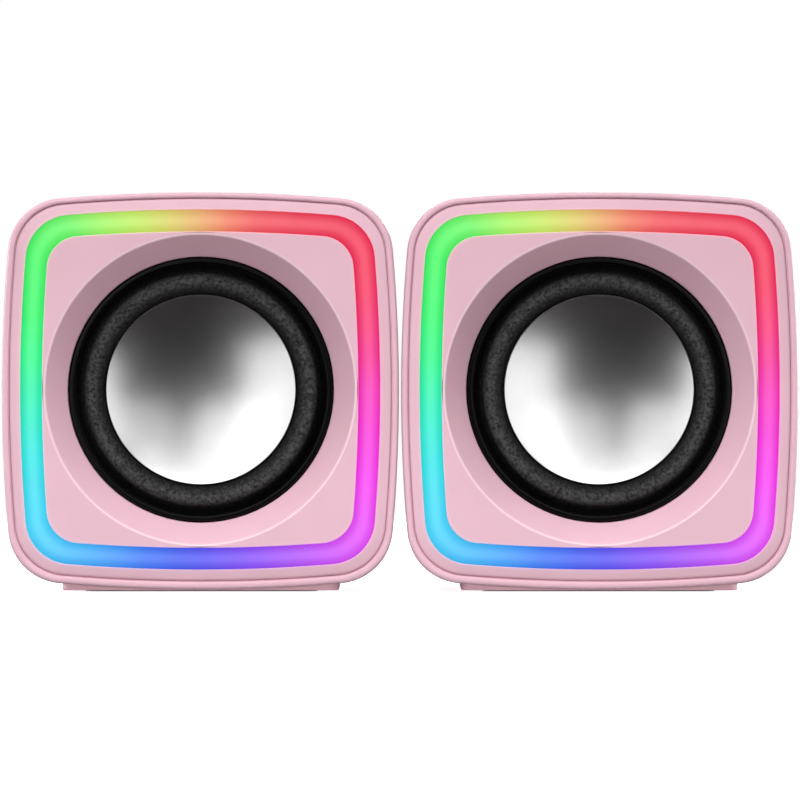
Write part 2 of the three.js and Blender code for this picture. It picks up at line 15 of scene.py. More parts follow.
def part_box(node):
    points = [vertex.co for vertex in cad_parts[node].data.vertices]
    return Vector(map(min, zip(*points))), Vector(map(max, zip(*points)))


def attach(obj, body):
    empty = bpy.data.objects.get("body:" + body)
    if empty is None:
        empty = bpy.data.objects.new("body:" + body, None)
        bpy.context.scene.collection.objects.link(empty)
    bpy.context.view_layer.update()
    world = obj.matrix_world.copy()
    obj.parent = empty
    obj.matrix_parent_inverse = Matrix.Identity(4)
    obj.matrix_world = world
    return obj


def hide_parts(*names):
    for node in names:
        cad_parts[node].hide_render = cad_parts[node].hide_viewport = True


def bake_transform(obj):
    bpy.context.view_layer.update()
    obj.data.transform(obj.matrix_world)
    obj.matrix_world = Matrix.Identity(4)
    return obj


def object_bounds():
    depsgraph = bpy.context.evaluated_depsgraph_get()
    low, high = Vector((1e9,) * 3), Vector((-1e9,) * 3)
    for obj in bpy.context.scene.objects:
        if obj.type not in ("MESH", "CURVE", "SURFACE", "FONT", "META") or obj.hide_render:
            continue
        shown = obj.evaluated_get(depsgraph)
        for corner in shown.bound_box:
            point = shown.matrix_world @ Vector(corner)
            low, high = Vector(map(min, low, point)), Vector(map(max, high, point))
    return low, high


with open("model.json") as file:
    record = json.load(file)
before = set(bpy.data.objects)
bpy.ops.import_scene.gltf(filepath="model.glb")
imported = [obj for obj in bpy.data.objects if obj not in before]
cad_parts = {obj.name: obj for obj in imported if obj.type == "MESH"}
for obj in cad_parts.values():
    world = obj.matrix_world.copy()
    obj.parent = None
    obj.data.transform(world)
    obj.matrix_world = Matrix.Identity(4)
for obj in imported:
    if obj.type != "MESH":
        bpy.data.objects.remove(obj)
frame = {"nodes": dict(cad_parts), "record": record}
cad_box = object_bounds()
slots = {part["node"]: part["material_slot"] for part in frame["record"]["subparts"]}

MM = 0.001

# The body's outline seen from the front, in millimetres.
SIDE_RADIUS = 320.0
CORNER_RADIUS = 11.0
CORNER_SHRINK = 0.57
SIDE_STEPS = 16
CORNER_STEPS = 12
ROUND_STEPS = 5
TURN_STEPS = 128

# Insets from the cabinet's outer face, radii round the driver's axis, and places along Z.
GROOVE_WALL = 1.25
PANEL_EDGE = 1.5
SEAT_FACE = -2.5
SPIGOT_EDGE = 2.8
RING_OUTER = 3.75
RING_INNER = 7.9
RING_SIDE = -1.75
RING_CREST = -0.85
RING_BACK = -3.7
CHANNEL_FLOOR = -4.0
PANEL_BACK = -5.2
LIP_RADIUS = 30.45
THROAT_RADIUS = 26.2
RECESS_DEPTH = -5.5
BOSS_BACK = -8.3
ROLL_RADIUS = 21.05
ROLL_HALF_WIDTH = 2.05
ROLL_SKEW = 0.8
ROLL_FOOT = -6.6
ROLL_CREST = -4.95
CONE_RADIUS = 18.6
CONE_EDGE = -6.2
CONE_DEPTH = 5.0
COVER_EDGE = 1.95
COVER_INSIDE = -69.5
COVER_FACE = -72.0
SCREW_OFFSET = 30.4

# Radii of the rear cover's holes.
SCREW_HEAD_HOLE = 2.7
SCREW_HOLE = 1.5
OUTLET_HOLE = 4.2
KNOB_DISH = 10.2
SHAFT_HOLE = 3.5
BUTTON_HOLE = 3.4

NEAR_AXIS = 0.05  # the radius at which a solid turned shape gets its flat cap
MARK_HEIGHT = 0.3
MARK_SUNK = 0.05  # how far a raised mark reaches into the rear cover
UV_REACH = 10.0  # the inset at which the ring map's second coordinate is 1

# The volume pointer's angle from X towards Y at the lowest setting, and how far it turns from
# there, which is clockwise seen from behind.
VOLUME_START = math.radians(-60)
VOLUME_SWEEP = math.radians(300)


class Place:
    """Where one speaker stands: turns its drawing's millimetres into the frame's metres."""

    def __init__(self, side):
        cabinet_low, cabinet_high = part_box(f"{side}_cabinet")
        panel_low, panel_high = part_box(f"{side}_front_panel")
        self.side = side
        self.body = f"{side}_speaker"
        self.cone_body = f"{side}_diaphragm"
        self.half = (cabinet_high.x - cabinet_low.x) / 2 / MM
        self.origin = Vector((
            (panel_low.x + panel_high.x) / 2,
            panel_low.y,
            (panel_low.z + panel_high.z) / 2,
        ))
        # The driver's axis lies this far above the middle of the cabinet.
        self.drop = (self.origin.z - (cabinet_low.z + cabinet_high.z) / 2) / MM
        turn = Matrix(((1, 0, 0), (0, 0, -1), (0, 1, 0))).to_4x4()
        self.matrix = Matrix.Translation(self.origin) @ turn @ Matrix.Scale(MM, 4)

    def drawn(self, point):
        """A point of the frame, in this drawing's millimetres."""
        return self.matrix.inverted() @ Vector(point)

    def world(self, x, y, z):
        return self.matrix @ Vector((x, y, z))


# ------------------------------------------------------------------ outlines and meshes
def body_outline(half, inset):
    """Four shallow arcs joined by four corner arcs, moved in by `inset`."""
    side_radius = SIDE_RADIUS - inset
    corner_radius = CORNER_RADIUS - CORNER_SHRINK * inset
    side_centre = half - SIDE_RADIUS
    reach = side_radius - corner_radius
    corner_centre = (side_centre + math.sqrt(2 * reach**2 - side_centre**2)) / 2
    tangent = math.atan2(corner_centre, corner_centre - side_centre)
    points = []
    for quarter in range(4):
        spin = Matrix.Rotation(quarter * math.pi / 2, 2)
        for i in range(SIDE_STEPS):
            angle = tangent * (2 * i / SIDE_STEPS - 1)
            arm = Vector((math.cos(angle), math.sin(angle))) * side_radius
            points.append(spin @ (Vector((side_centre, 0)) + arm))
        for i in range(CORNER_STEPS):
            angle = tangent + (math.pi / 2 - 2 * tangent) * i / CORNER_STEPS
            arm = Vector((math.cos(angle), math.sin(angle))) * corner_radius
            points.append(spin @ (Vector((corner_centre, corner_centre)) + arm))
    return points


def body_ring(place, inset, z, drop=0.0):
    return [Vector((p.x, p.y - drop, z)) for p in body_outline(place.half, inset)]


def matched_circle(place, radius, z):
    """A circle whose points lie at the same angles as the body outline's."""
    return [
        Vector((*(p.normalized() * radius), z)) for p in body_outline(place.half, 0)
    ]


def blended_ring(first, second, share):
    return [a.lerp(b, share) for a, b in zip(first, second)]


def circle(radius, z, centre=(0, 0), steps=TURN_STEPS):
    return [
        Vector((
            centre[0] + radius * math.cos(2 * math.pi * i / steps),
            centre[1] + radius * math.sin(2 * math.pi * i / steps),
            z,
        ))
        for i in range(steps)
    ]


def rectangle_ring(half_width, half_length, radius, centre, y, steps=8):
    """A rounded rectangle lying flat at height y; its length runs along Z."""
    points = []
    for quarter, (sx, sz) in enumerate(((1, 1), (-1, 1), (-1, -1), (1, -1))):
        for i in range(steps + 1):
            angle = (quarter + i / steps) * math.pi / 2
            points.append(Vector((
                centre[0] + sx * (half_width - radius) + radius * math.cos(angle),
                y,
                centre[1] + sz * (half_length - radius) + radius * math.sin(angle),
            )))
    return points


def rounded(profile, closed=True, steps=ROUND_STEPS):
    """Rounds the corners of a profile of (u, z, rounding) points; the ends of an open one stay.

    A rounding takes at most `limit` of each side, so that two of them never meet.
    """
    limit = 0.49
    corners = [(Vector((p[0], p[1])), p[2] if len(p) > 2 else 0) for p in profile]
    count = len(corners)
    points = []
    for i, (corner, size) in enumerate(corners):
        at_end = not closed and i in (0, count - 1)
        if at_end or size == 0:
            points.append(corner)
            continue
        before = corners[i - 1][0] - corner
        after = corners[(i + 1) % count][0] - corner
        start = corner + before.normalized() * min(size, before.length * limit)
        end = corner + after.normalized() * min(size, after.length * limit)
        for k in range(steps + 1):
            t = k / steps
            points.append(start * (1 - t) ** 2 + corner * 2 * t * (1 - t) + end * t**2)
    return points


def loft(rings, closed=True):
    """Joins rings of equal count with quads; an open stack of rings gets a cap at each end."""
    count = len(rings[0])
    verts = [p for ring in rings for p in ring]
    faces = []
    for r in range(len(rings) if closed else len(rings) - 1):
        here, there = r * count, (r + 1) % len(rings) * count
        for i in range(count):
            j = (i + 1) % count
            faces.append((here + i, here + j, there + j, there + i))
    if not closed:
        faces.append(tuple(reversed(range(count))))
        faces.append(tuple(range(len(verts) - count, len(verts))))
    return verts, faces


def turned(profile, centre=(0, 0), steps=TURN_STEPS, closed=True):
    return loft([circle(r, z, centre, steps) for r, z in profile], closed)


def joined(*solids):
    """Several closed shapes in one mesh."""
    verts, faces = [], []
    for more_verts, more_faces in solids:
        start = len(verts)
        verts += more_verts
        faces += [tuple(start + i for i in face) for face in more_faces]
    return verts, faces


def bar(length, width, height, x, y, z, angle=0.0):
    """A small box turned by `angle` about Z."""
    turn = Matrix.Translation((x, y, z)) @ Matrix.Rotation(angle, 4, "Z")
    corners = [
        turn @ Vector((sx * length / 2, sy * width / 2, sz * height / 2))
        for sz in (-1, 1) for sx, sy in ((-1, -1), (1, -1), (1, 1), (-1, 1))
    ]
    faces = [(3, 2, 1, 0), (4, 5, 6, 7)]
    faces += [(i, (i + 1) % 4, (i + 1) % 4 + 4, i + 4) for i in range(4)]
    return corners, faces


def new_mesh(name, shape):
    verts, faces = shape
    mesh = bpy.data.meshes.new(name)
    mesh.from_pydata(verts, [], faces)
    work = bmesh.new()
    work.from_mesh(mesh)
    bmesh.ops.recalc_face_normals(work, faces=work.faces)
    work.to_mesh(mesh)
    work.free()
    return mesh


def new_object(name, mesh):
    thing = bpy.data.objects.new(name, mesh)
    bpy.context.scene.collection.objects.link(thing)
    return thing


def carved(name, shape, cutters):
    """The shape with every cutter taken out of it."""
    body = new_object(name, new_mesh(name, shape))
    tools = [new_object("cutter", new_mesh("cutter", cutter)) for cutter in cutters]
    for tool in tools:
        cut = body.modifiers.new("cut", "BOOLEAN")
        cut.object = tool
        cut.solver = "EXACT"
    bpy.context.view_layer.update()
    mesh = bpy.data.meshes.new_from_object(
        body.evaluated_get(bpy.context.evaluated_depsgraph_get())
    )
    for thing in (body, *tools):
        bpy.data.objects.remove(thing)
    mesh.name = name
    return mesh


def add_piece(name, mesh, place, finish, body, stands_for=(), sharp=35.0, ride=True):
    """Puts a drawn mesh into the frame, shades it, gives it its finish and makes it ride."""
    mesh.transform(place.matrix)
    mesh.materials.clear()
    mesh.materials.append(finishes[finish].material)
    mesh.shade_smooth()
    mesh.set_sharp_from_angle(angle=math.radians(sharp))
    thing = new_object(name, mesh)
    even = thing.modifiers.new("even_normals", "WEIGHTED_NORMAL")
    even.keep_sharp = True
    if ride:
        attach(thing, body)
    if stands_for:
        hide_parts(*stands_for)
    return thing


# ------------------------------------------------------------------ materials
def linear(code):
    """A linear colour from a #rrggbb screen colour."""
    channels = [int(code[i:i + 2], 16) / 255 for i in (1, 3, 5)]
    return tuple(c / 12.92 if c <= 0.04045 else ((c + 0.055) / 1.055) ** 2.4 for c in channels)


class Shading:
    """A node tree, with short ways to add its nodes and join them."""

    def __init__(self, tree):
        self.tree = tree

    def node(self, kind, **settings):
        node = self.tree.nodes.new(kind)
        for key, value in settings.items():
            setattr(node, key, value)
        return node

    def link(self, source, target):
        self.tree.links.new(source, target)

    def ramp(self, value, stops):
        """A colour for each value from 0 to 1; a stop is (value, colour) or (value, level)."""
        node = self.node("ShaderNodeValToRGB")
        elements = node.color_ramp.elements
        while len(elements) < len(stops):
            elements.new(0.5)
        for element, (place, colour) in zip(elements, stops):
            element.position = place
            element.color = (*colour, 1) if isinstance(colour, tuple) else (*[colour] * 3, 1)
        self.link(value, node.inputs["Fac"])
        return node.outputs["Color"]

    def remap(self, value, low, high, from_low=0.3, from_high=0.7, **settings):
        """Takes from_low to low and from_high to high; a noise stays mostly from 0.3 to 0.7."""
        node = self.node("ShaderNodeMapRange", **settings)
        for socket, number in (
            ("From Min", from_low), ("From Max", from_high), ("To Min", low), ("To Max", high),
        ):
            node.inputs[socket].default_value = number
        self.link(value, node.inputs["Value"])
        return node.outputs["Result"]

    def feed(self, target, source):
        """Gives an input what drives it, which is an output or a plain value."""
        if isinstance(source, bpy.types.NodeSocket):
            self.link(source, target)
        else:
            target.default_value = source

    def math(self, operation, *values, **settings):
        node = self.node("ShaderNodeMath", operation=operation, **settings)
        for target, value in zip(node.inputs, values):
            self.feed(target, value)
        return node.outputs["Value"]

    def vector_math(self, operation, *values):
        node = self.node("ShaderNodeVectorMath", operation=operation)
        for target, value in zip(node.inputs, values):
            self.feed(target, value)
        return node.outputs["Value" if operation == "LENGTH" else "Vector"]

    def mix(self, factor, first, second):
        """Runs from the first colour to the second as the factor goes from 0 to 1."""
        node = self.node("ShaderNodeMix", data_type="RGBA")
        self.feed(node.inputs["Factor"], factor)
        self.feed(node.inputs["A"], first)
        self.feed(node.inputs["B"], second)
        return node.outputs["Result"]


class Finish(Shading):
    """A Principled material with helpers for the procedural detail that drives it."""

    def __init__(self, name, colour, **values):
        self.name = name
        self.material = bpy.data.materials.new(name)
        self.material.use_nodes = True
        super().__init__(self.material.node_tree)
        self.shader = self.tree.nodes["Principled BSDF"]
        self.colour = linear(colour)
        self.shader.inputs["Base Color"].default_value = (*self.colour, 1)
        for socket, value in values.items():
            self.shader.inputs[socket.replace("_", " ")].default_value = value
        self.coordinates = self.node("ShaderNodeTexCoord").outputs["Object"]

    def drive(self, socket, source):
        """Links a source to one of the shader's sockets, in place of what drove it before."""
        self.link(source, self.shader.inputs[socket])

    def driven(self, socket):
        """What drives one of the shader's sockets now."""
        return self.shader.inputs[socket].links[0].from_socket

    def noise(self, scale, detail=3.0, roughness=0.55):
        node = self.node("ShaderNodeTexNoise")
        node.inputs["Scale"].default_value = scale
        node.inputs["Detail"].default_value = detail
        node.inputs["Roughness"].default_value = roughness
        self.link(self.coordinates, node.inputs["Vector"])
        return node.outputs["Fac"]

    def wave(self, direction, scale):
        node = self.node("ShaderNodeTexWave", bands_direction=direction)
        node.inputs["Scale"].default_value = scale
        self.link(self.coordinates, node.inputs["Vector"])
        return node.outputs["Fac"]

    def reach(self):
        """Distance from the nearer driver's axis."""
        parts = self.node("ShaderNodeSeparateXYZ")
        self.link(self.coordinates, parts.inputs["Vector"])
        axis = Place("right").world(0, 0, 0)
        offset = self.node("ShaderNodeCombineXYZ")
        side = self.math("ABSOLUTE", parts.outputs["X"])
        self.link(self.math("SUBTRACT", side, axis.x), offset.inputs["X"])
        self.link(self.math("SUBTRACT", parts.outputs["Z"], axis.z), offset.inputs["Y"])
        return self.vector_math("LENGTH", offset.outputs["Vector"])

    def mottle(self, value, dark, light):
        """Shades the base colour between two strengths of itself."""
        first, second = (
            (*(min(1, c * strength) for c in self.colour), 1) for strength in (dark, light)
        )
        self.drive("Base Color", self.mix(self.remap(value, 0, 1), first, second))

    def gloss(self, value, low, high):
        self.drive("Roughness", self.remap(value, low, high))

    def bump(self, value, height, strength=1.0):
        node = self.node("ShaderNodeBump")
        node.inputs["Strength"].default_value = strength
        node.inputs["Distance"].default_value = height
        self.link(value, node.inputs["Height"])
        self.drive("Normal", node.outputs["Normal"])


def moulded_plastic(name, colour, low, high):
    """Satin moulded plastic: a fine spark-eroded grain and faint flow marks."""
    finish = Finish(name, colour, Specular_IOR_Level=0.4, Coat_Weight=0.06, Coat_Roughness=0.22)
    finish.mottle(finish.noise(60, 2), 0.975, 1.02)
    finish.gloss(finish.noise(900, 4), low, high)
    finish.bump(finish.noise(5200, 2), 0.00002, 0.5)
    return finish


# Screen colours round the light ring, by angle from the right side, counter-clockwise.
RING_COLOURS = (
    (0, "#f230b6"), (10, "#ee2a94"), (20, "#ee2c78"), (32, "#ec2e5c"), (45, "#e92e54"),
    (60, "#e83e55"), (71, "#e9525c"), (80, "#ea7a60"), (90, "#e4aa6c"), (100, "#d8cc68"),
    (110, "#c2e460"), (120, "#a2ec62"), (129, "#66ed64"), (140, "#40ef62"), (155, "#30f06e"),
    (170, "#26f18c"), (180, "#22ebaa"), (190, "#20e8c4"), (203, "#28e0e0"), (220, "#40d2f6"),
    (230, "#44bcf4"), (241, "#409cf4"), (251, "#3c7af0"), (262, "#4460ea"), (272, "#5852ec"),
    (288, "#884cf0"), (300, "#ac50f0"), (318, "#e04cf2"), (332, "#f038e8"), (347, "#f02ece"),
    (360, "#f230b6"),
)
# How bright and pale the ring is, by distance from its crest in millimetres.
CREST_LEVELS = ((-1.1, 0.5), (-0.5, 0.92), (0, 1), (0.5, 0.92), (1.1, 0.5))
# How much of the ring's light bleeds into the panel, by inset in millimetres.
BLEED_LEVELS = (
    (2.9, 0), (3.4, 0.1), (3.68, 0.5), (4.2, 0.8), (7.4, 0.8), (7.95, 0.5), (8.25, 0.1), (8.8, 0),
)
BLEED = 0.45
# Painted shade on the roll: how much of its colour shows, by radius in millimetres; darkest
# beside the dish and in the groove round it, where shade falls.
ROLL_PAINTED_SHADE = (
    (18.7, 0.05), (19.5, 0.22), (20.2, 0.5), (21.1, 1.0), (21.7, 0.95), (22.4, 0.6), (23.0, 0.2),
    (23.8, 0.02),
)


def ring_light(finish, levels):
    """The ring's hue at this angle, and a brightness that follows `levels` across the ring.

    Each level is (inset in millimetres, brightness).
    """
    spread = finish.node("ShaderNodeUVMap", uv_map="ring")
    parts = finish.node("ShaderNodeSeparateXYZ")
    finish.link(spread.outputs["UV"], parts.inputs["Vector"])
    hue = finish.ramp(
        parts.outputs["X"], [(angle / 360, linear(code)) for angle, code in RING_COLOURS],
    )
    level = finish.ramp(
        parts.outputs["Y"], [(inset / UV_REACH, amount) for inset, amount in levels],
    )
    return hue, level


def lit_diffuser():
    """Milky plastic lit from behind: its hue runs round the ring, paler along its crest."""
    finish = Finish("diffuser", "#0c0c0c", Roughness=0.45, Specular_IOR_Level=0.12)
    middle = (RING_OUTER + RING_INNER) / 2
    hue, across = ring_light(finish, [
        (RING_OUTER + 0.1, 0), *((middle + step, level) for step, level in CREST_LEVELS),
        (RING_INNER - 0.1, 0),
    ])
    white_at_crest = (0.08, 0.08, 0.08)
    edge_strength, crest_strength = 0.93, 1.06
    paler = finish.vector_math("MULTIPLY_ADD", across, white_at_crest, hue)
    strength = finish.remap(across, edge_strength, crest_strength, 0, 1)
    cloud = finish.remap(finish.noise(160, 2), 0.985, 1.015)
    light = finish.node("ShaderNodeVectorMath", operation="SCALE")
    finish.link(paler, light.inputs[0])
    finish.link(finish.math("MULTIPLY", strength, cloud), light.inputs["Scale"])
    finish.drive("Emission Color", light.outputs["Vector"])
    finish.shader.inputs["Emission Strength"].default_value = 1.0
    finish.bump(finish.noise(3000, 2), 0.00001, 0.2)
    return finish


def front_plastic():
    """The panel's plastic: the ring's light bleeds into it, and a pale highlight is painted along
    the recess's lip.
    """
    finish = moulded_plastic("front_plastic", "#deb3c1", 0.4, 0.52)
    hue, level = ring_light(finish, BLEED_LEVELS)
    finish.drive("Emission Color", finish.vector_math("MULTIPLY", hue, level))
    finish.shader.inputs["Emission Strength"].default_value = BLEED
    # Painted highlight: a pale band in the base colour along the recess's lip, fading out 0.3 mm
    # from it.
    highlight_radius = (LIP_RADIUS + 0.1) * MM
    highlight_full_width, highlight_faded_width = 0.08 * MM, 0.3 * MM
    from_highlight_line = finish.math("ABSOLUTE", finish.math("SUBTRACT", finish.reach(), highlight_radius))
    lip = finish.remap(from_highlight_line, 0.4, 0, highlight_full_width, highlight_faded_width)
    painted_lip_highlight = (*linear("#f8e6ec"), 1)
    finish.drive("Base Color", finish.mix(lip, finish.driven("Base Color"), painted_lip_highlight))
    return finish


def foam_rubber(name, colour, low, high, grain, scale, shine=0.35):
    """Matte open-pored foam rubber."""
    finish = Finish(name, colour, Specular_IOR_Level=shine)
    pores = finish.noise(scale, 5, 0.62)
    finish.mottle(pores, 0.1, 2.4)
    finish.gloss(finish.noise(scale * 0.6, 3), low, high)
    finish.bump(pores, grain, 0.9)
    return finish


def roll_rubber():
    """Foam rubber of the half roll, with painted shade: darkened in the groove round it and
    beside the dish.
    """
    finish = foam_rubber("roll_rubber", "#363637", 0.5, 0.72, 0.0006, 1700, 0.13)
    start, end = ROLL_PAINTED_SHADE[0][0], ROLL_PAINTED_SHADE[-1][0]
    # Painted shade: darkens the roll's colour by radius, beside the dish and in the groove round
    # it.
    across = finish.remap(finish.reach(), 0, 1, start * MM, end * MM)
    painted_shade = finish.ramp(
        across, [((radius - start) / (end - start), level) for radius, level in ROLL_PAINTED_SHADE],
    )
    finish.drive(
        "Base Color", finish.vector_math("MULTIPLY", finish.driven("Base Color"), painted_shade),
    )
    return finish


def satin_metal(name, colour, low, high):
    """Bare or plated metal with a fine turned grain."""
    finish = Finish(name, colour, Metallic=1.0)
    finish.mottle(finish.noise(150, 3), 0.96, 1.03)
    finish.gloss(finish.noise(2500, 3), low, high)
    finish.bump(finish.noise(9000, 2), 0.000004, 0.4)
    return finish


def dull_solid(name, colour, low, high, grain, scale, metal=0.0):
    """Board, ferrite, paint or print: an uneven colour and a grain of its own scale."""
    finish = Finish(name, colour, Metallic=metal)
    finish.mottle(finish.noise(scale / 6, 4), 0.85, 1.12)
    finish.gloss(finish.noise(scale / 2, 3), low, high)
    finish.bump(finish.noise(scale, 3), grain, 0.6)
    return finish


def woven_cloth(name, colour):
    """Resin-stiffened cloth: two crossed sets of threads."""
    finish = Finish(name, colour, Roughness=0.85)
    weave = finish.math("MULTIPLY", finish.wave("X", 900), finish.wave("Z", 900))
    finish.mottle(weave, 0.7, 1.2)
    finish.bump(weave, 0.00008, 0.7)
    return finish


def wound_copper(name, colour):
    """Fine turns of wire round the driver's axis, which runs along Y."""
    finish = Finish(name, colour, Metallic=1.0, Roughness=0.35)
    turns = finish.wave("Y", 1600)
    finish.mottle(turns, 0.6, 1.15)
    finish.bump(turns, 0.00004, 0.8)
    return finish


# Most are given a name, a screen colour and their lowest and highest roughness. A foam rubber
# and a dull solid also get their grain's height in metres and its scale.
finishes = {finish.name: finish for finish in (
    moulded_plastic("cabinet_plastic", "#deb3c1", 0.38, 0.5),
    front_plastic(),
    # The foot's plastic is paler than the cabinet's same pink: painted light that makes up for
    # the shade under the cabinet.
    moulded_plastic("foot_plastic", "#eebdc9", 0.4, 0.5),
    moulded_plastic("control_plastic", "#d092a4", 0.32, 0.44),
    lit_diffuser(),
    dull_solid("led_board", "#e9e9e4", 0.35, 0.5, 0.00002, 2500),
    foam_rubber("foam", "#020202", 0.3, 0.42, 0.00002, 2600, 0.24),
    roll_rubber(),
    foam_rubber("black_rubber", "#161618", 0.55, 0.75, 0.00003, 3200),
    dull_solid("basket_steel", "#1d1d20", 0.4, 0.55, 0.00003, 2200, 0.3),
    satin_metal("silver_cone", "#f0f0f1", 0.29, 0.35),
    wound_copper("copper", "#c87a4a"),
    woven_cloth("spider_cloth", "#c9a45c"),
    satin_metal("plated_steel", "#b9babd", 0.3, 0.45),
    satin_metal("screw_steel", "#4a4a4d", 0.35, 0.5),
    dull_solid("ferrite", "#2e2e31", 0.6, 0.8, 0.00006, 1800),
    dull_solid("fibre_board", "#7a5230", 0.5, 0.7, 0.00004, 1500),
    dull_solid("wire_sheath", "#9c2020", 0.4, 0.55, 0.00002, 2500),
    dull_solid("amp_board", "#1f6a3c", 0.35, 0.5, 0.00003, 2000),
    moulded_plastic("black_plastic", "#1b1b1d", 0.4, 0.55),
    dull_solid("print", "#f4e6ea", 0.5, 0.6, 0.00001, 3000),
)}


# ------------------------------------------------------------------ front of a speaker
def make_cabinet(place):
    """The sleeve: a rounded bead at each rim, with the panel's and the cover's seats inside.

    The outer faces sit a little lower than the seats, so the rims are thinner at the top.
    """
    wall = 2.5
    panel_socket = 1.45
    cover_socket = 1.65
    cover_seat = -69.2
    rim = -1.0
    groove_floor = -1.62
    profile = rounded([
        (wall, cover_seat), (cover_socket, cover_seat, 0.1),
        (cover_socket, COVER_FACE + 0.25, 0.1), (cover_socket - 0.2, COVER_FACE, 0.15),
        (0, COVER_FACE, 1.5), (0, rim, 1.3), (GROOVE_WALL, rim, 0.5),
        (GROOVE_WALL, groove_floor, 0.05), (panel_socket - 0.01, groove_floor - 0.04, 0.03),
        (panel_socket, SEAT_FACE), (wall, SEAT_FACE, 0.1),
    ])
    shape = loft([
        body_ring(place, inset, z, place.drop * max(0, 1 - inset / GROOVE_WALL))
        for inset, z in profile
    ])
    foot_low, foot_high = (place.drawn(p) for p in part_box(f"{place.side}_foot"))
    side_gap, top_gap = 0.25, 0.3
    depth = 4.0
    width = foot_high.x - foot_low.x + 2 * side_gap
    length = abs(foot_high.z - foot_low.z) + 2 * side_gap
    top = foot_high.y + top_gap
    pocket = bar(width, depth, length, 0, top - depth / 2, (foot_low.z + foot_high.z) / 2)
    add_piece(
        f"{place.side}_cabinet_shell", carved("cabinet", shape, [pocket]), place,
        "cabinet_plastic", place.body, [f"{place.side}_cabinet"],
    )


def map_ring_light(mesh, insets):
    """Gives every corner its angle round the axis and, per vertex, how far in it lies."""
    spread = mesh.uv_layers.new(name="ring")
    for face in mesh.polygons:
        places = [mesh.vertices[i].co for i in face.vertices]
        turns = [math.atan2(c.y, c.x) / (2 * math.pi) % 1 for c in places]
        wraps = max(turns) - min(turns) > 0.5
        for loop, vertex, turn in zip(face.loop_indices, face.vertices, turns):
            full = turn + 1 if wraps and turn < 0.5 else turn
            spread.data[loop].uv = (full, insets[vertex] / UV_REACH)


def make_front_panel(place):
    """The baffle: border, light channel, raised middle and the conical recess, in one loft."""
    flange_back = -2.2
    channel_outer = RING_OUTER - 0.07
    channel_inner = RING_INNER + 0.07
    back_inset = 11
    boss_radius = 28.6
    border = [
        (PANEL_EDGE, -1.2, 0.6), (2.9, -0.86, 0.2), (3.3, -0.78, 0.1),
        (channel_outer, -0.7, 0.14),
    ]
    outer = rounded([
        (back_inset, PANEL_BACK), (SPIGOT_EDGE, PANEL_BACK, 0.1),
        (SPIGOT_EDGE, flange_back, 0.05), (PANEL_EDGE, flange_back, 0.1), *border,
        (channel_outer, CHANNEL_FLOOR, 0.1), (channel_inner, CHANNEL_FLOOR, 0.1),
        (channel_inner, 0, 0.12), (channel_inner + 0.23, 0),
    ], closed=False)
    inner = rounded([
        (LIP_RADIUS + 0.5, 0), (LIP_RADIUS, 0, 0.45), (THROAT_RADIUS, RECESS_DEPTH, 0.3),
        (THROAT_RADIUS, BOSS_BACK, 0.1), (boss_radius, BOSS_BACK, 0.1),
        (boss_radius, PANEL_BACK),
    ], closed=False)
    rings = [body_ring(place, inset, z) for inset, z in outer]
    insets = [inset for inset, _ in outer for _ in rings[0]]
    edge = rings[-1]
    lip = [matched_circle(place, radius, z) for radius, z in inner]
    ways_to_lip = (0.08, 0.2, 0.4, 0.7)
    rings += [blended_ring(edge, lip[0], share) for share in ways_to_lip]
    rings += lip
    for ring in rings[len(outer):]:
        insets += [outer[-1][0] + (a - b).length for a, b in zip(edge, ring)]
    mesh = new_mesh("baffle", loft(rings))
    map_ring_light(mesh, insets)
    add_piece(
        f"{place.side}_baffle", mesh, place, "front_plastic", place.body,
        [f"{place.side}_front_panel"],
    )


def ring_profile(steps=22):
    """The light ring's section: a low half round on a straight base."""
    middle = (RING_OUTER + RING_INNER) / 2
    half = (RING_INNER - RING_OUTER) / 2
    height = RING_CREST - RING_SIDE
    dome = [
        (middle - half * math.cos(math.pi * i / steps),
         RING_SIDE + height * math.sin(math.pi * i / steps))
        for i in range(steps + 1)
    ]
    return dome + [(RING_INNER, RING_BACK), (RING_OUTER, RING_BACK)]


def make_light_ring(place):
    profile = ring_profile()
    rings = [body_ring(place, inset, z) for inset, z in profile]
    mesh = new_mesh("light_ring", loft(rings))
    map_ring_light(mesh, [inset for inset, _ in profile for _ in rings[0]])
    add_piece(
        f"{place.side}_diffuser", mesh, place, "diffuser", place.body,
        [f"{place.side}_light_ring"], sharp=60,
    )


def make_gasket(place):
    inner, outer = 24.9, 25.9
    front = -5.8
    profile = rounded([
        (inner, BOSS_BACK), (outer, BOSS_BACK), (outer, front, 0.35), (inner, front, 0.35),
    ])
    add_piece(
        f"{place.side}_trim_ring", new_mesh("gasket", turned(profile)), place, "foam",
        place.body, [f"{place.side}_driver_gasket"],
    )


